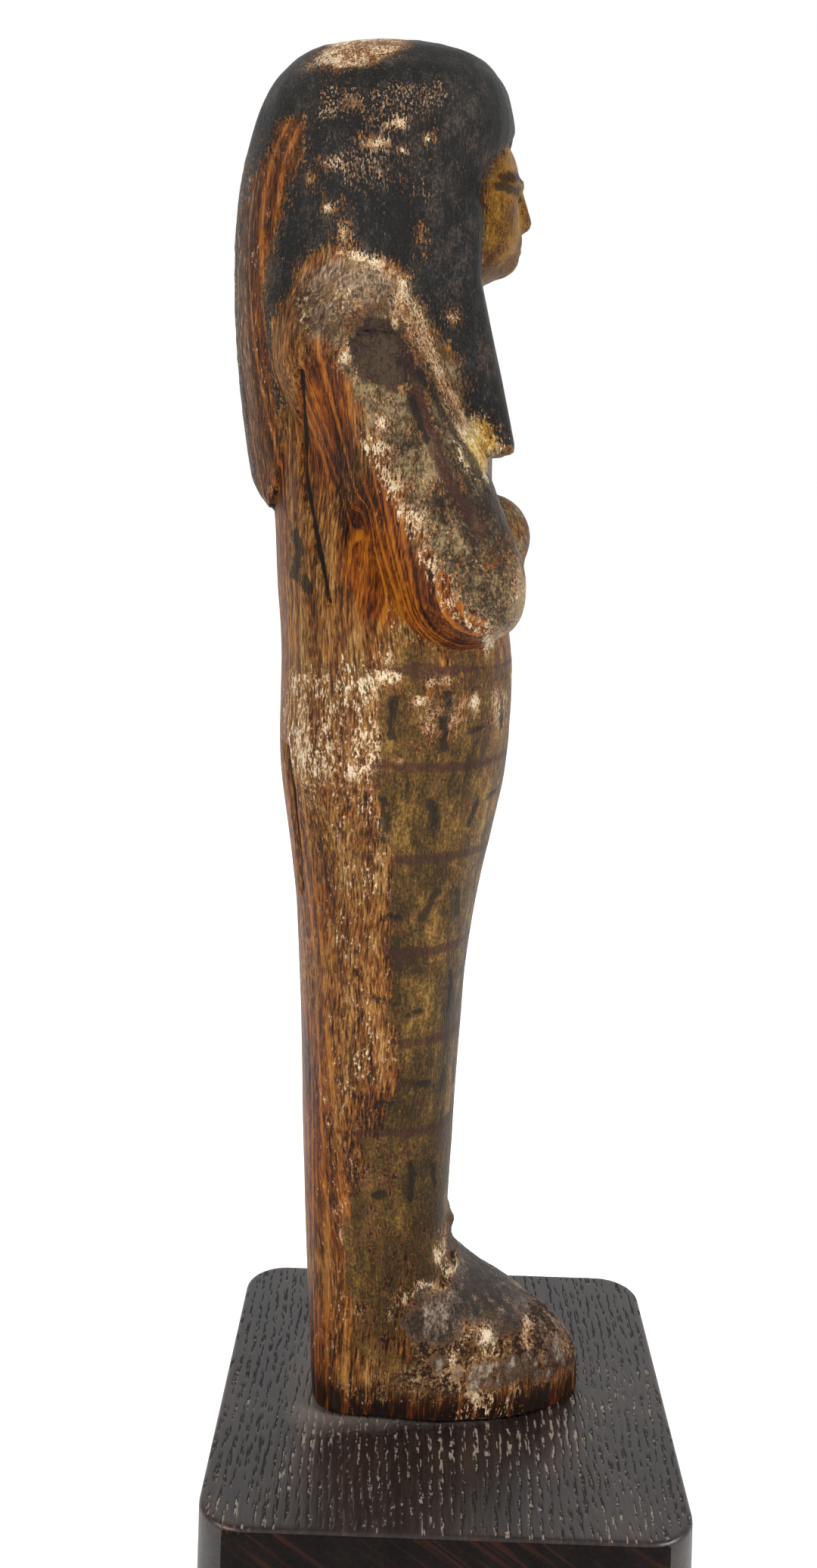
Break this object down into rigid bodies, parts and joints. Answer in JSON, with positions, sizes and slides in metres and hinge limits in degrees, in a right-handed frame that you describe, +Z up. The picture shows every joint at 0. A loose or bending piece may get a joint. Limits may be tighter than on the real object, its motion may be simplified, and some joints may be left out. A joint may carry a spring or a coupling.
{
  "type": "ushabti figurine",
  "caption": "Mummy-shaped carved wooden figurine with tripartite wig and crossed arms, worn paint over gesso, standing on a square dark oak block.",
  "frame": {"origin": "centre of the flat underside of the square stand", "axes": "+Z up along the standing figure; the figure faces -Y and its own right side is towards -X; the stand's sides are parallel to X and Y"},
  "size_m": [0.076, 0.0798, 0.2637],
  "materials": {
    "painted_wood": "aged bare wood with worn gesso and paint, mostly matte",
    "stained_oak": "dark stained and waxed open-pored oak, satin"
  },
  "bodies": {
    "root": {"figurine": "painted_wood", "display_base": "stained_oak"}
  },
  "joints": []
}
